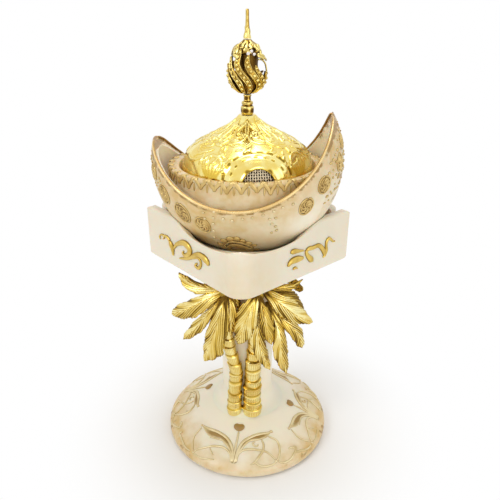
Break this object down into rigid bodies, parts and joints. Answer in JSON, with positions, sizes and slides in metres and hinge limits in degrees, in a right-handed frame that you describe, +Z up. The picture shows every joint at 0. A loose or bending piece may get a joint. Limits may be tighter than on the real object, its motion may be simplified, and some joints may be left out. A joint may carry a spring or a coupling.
{
  "type": "mabkhara incense burner",
  "caption": "Table incense burner: a crescent-shaped bowl with a lift-off openwork metal dome, on a square capital carried by a column with gilded palms and a round foot.",
  "frame": {"origin": "centre of the round foot's underside, on the surface that the burner stands on", "axes": "+Z up along the column; the horns of the crescent point to +X and -X, and the front palms face -Y"},
  "size_m": [0.1334, 0.1234, 0.2941],
  "materials": {
    "felt": "pressed felt",
    "ivory_resin": "satin cast resin, read as ceramic",
    "amber_resin": "satin cast resin with an amber wash",
    "antique_gold": "gilded, dark in the grooves",
    "dome_gold": "polished and embossed",
    "mesh_metal": "fine woven mesh",
    "finial_gold": "gilded, beaded",
    "steel": "plain zinc-plated",
    "insulation": "matt insulating board"
  },
  "bodies": {
    "stand": {"felt_pad": "felt", "base_disc": "ivory_resin", "column": "ivory_resin", "front_left_trunk": "antique_gold", "front_right_trunk": "antique_gold", "back_left_trunk": "antique_gold", "back_right_trunk": "antique_gold", "front_left_fronds": "antique_gold", "front_right_fronds": "antique_gold", "back_left_fronds": "antique_gold", "back_right_fronds": "antique_gold", "capital_core": "ivory_resin", "front_panels": "ivory_resin", "back_panels": "ivory_resin", "crescent_bowl": "amber_resin", "seat_collar": "amber_resin", "tie_rod": "steel", "base_washer": "steel", "base_nut": "steel", "bowl_washer": "steel", "bowl_nut": "steel", "heat_pad": "insulation"},
    "charcoal_cup": {"charcoal_cup": "steel"},
    "dome": {"dome_base_ring": "dome_gold", "dome_shell": "dome_gold", "mesh_liner": "mesh_metal", "finial_spool": "dome_gold", "finial_bud": "finial_gold", "finial_petals": "finial_gold", "finial_spike": "finial_gold", "finial_screw": "steel", "finial_washer": "steel"}
  },
  "joints": [
    {"name": "dome_lift", "type": "slide", "parent": "stand", "child": "dome", "axis": [0, 0, 1], "range_m": [0, 0.09]},
    {"name": "cup_lift", "type": "slide", "parent": "stand", "child": "charcoal_cup", "axis": [0, 0, 1], "range_m": [0, 0.018]}
  ]
}
